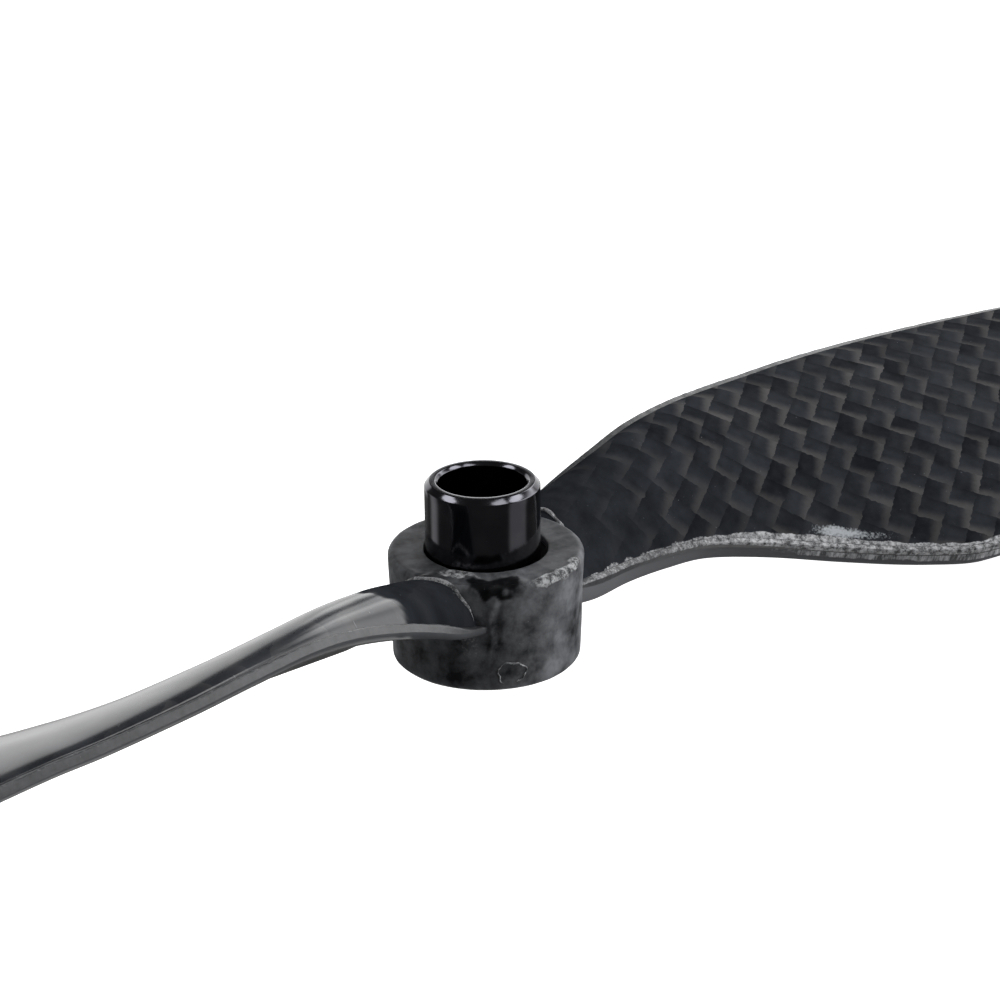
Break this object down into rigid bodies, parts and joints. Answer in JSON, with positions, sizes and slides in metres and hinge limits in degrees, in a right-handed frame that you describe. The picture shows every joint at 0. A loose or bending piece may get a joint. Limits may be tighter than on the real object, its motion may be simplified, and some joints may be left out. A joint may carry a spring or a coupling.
{
  "type": "two-blade propeller",
  "caption": "Moulded carbon-fibre propeller with a twisted blade on each side of a round hub, and a loose aluminium shaft adapter sleeve in the hub's hole.",
  "frame": {"origin": "on the spin axis, at the centre of the hub's bottom face, where the motor's flange seats", "axes": "+Z along the spin axis towards the adapter sleeve, +X along the right blade"},
  "size_m": [0.254, 0.029, 0.014],
  "materials": {
    "carbon_weave": "carbon-fibre plain weave in clear epoxy, moulded, semi-gloss",
    "carbon_tow": "unidirectional carbon tow in epoxy",
    "core_filler": "chopped fibre and resin filler",
    "seam_resin": "sanded resin seam",
    "hub_laminate": "moulded carbon laminate, satin and scuffed",
    "anodised_aluminium": "turned, black anodised, glossy"
  },
  "bodies": {
    "propeller": {"hub_upper_shell": "hub_laminate", "hub_lower_shell": "hub_laminate", "hub_core": "core_filler", "right_upper_skin": "carbon_weave", "right_lower_skin": "carbon_weave", "right_spar": "carbon_tow", "right_core": "core_filler", "right_leading_seam": "seam_resin", "right_trailing_seam": "seam_resin", "left_upper_skin": "carbon_weave", "left_lower_skin": "carbon_weave", "left_spar": "carbon_tow", "left_core": "core_filler", "left_leading_seam": "seam_resin", "left_trailing_seam": "seam_resin"},
    "sleeve": {"adapter_sleeve": "anodised_aluminium"}
  },
  "joints": [
    {"name": "sleeve_slide", "type": "slide", "parent": "propeller", "child": "sleeve", "axis": [0, 0, 1], "range_m": [-0.005, 0.0035]}
  ]
}
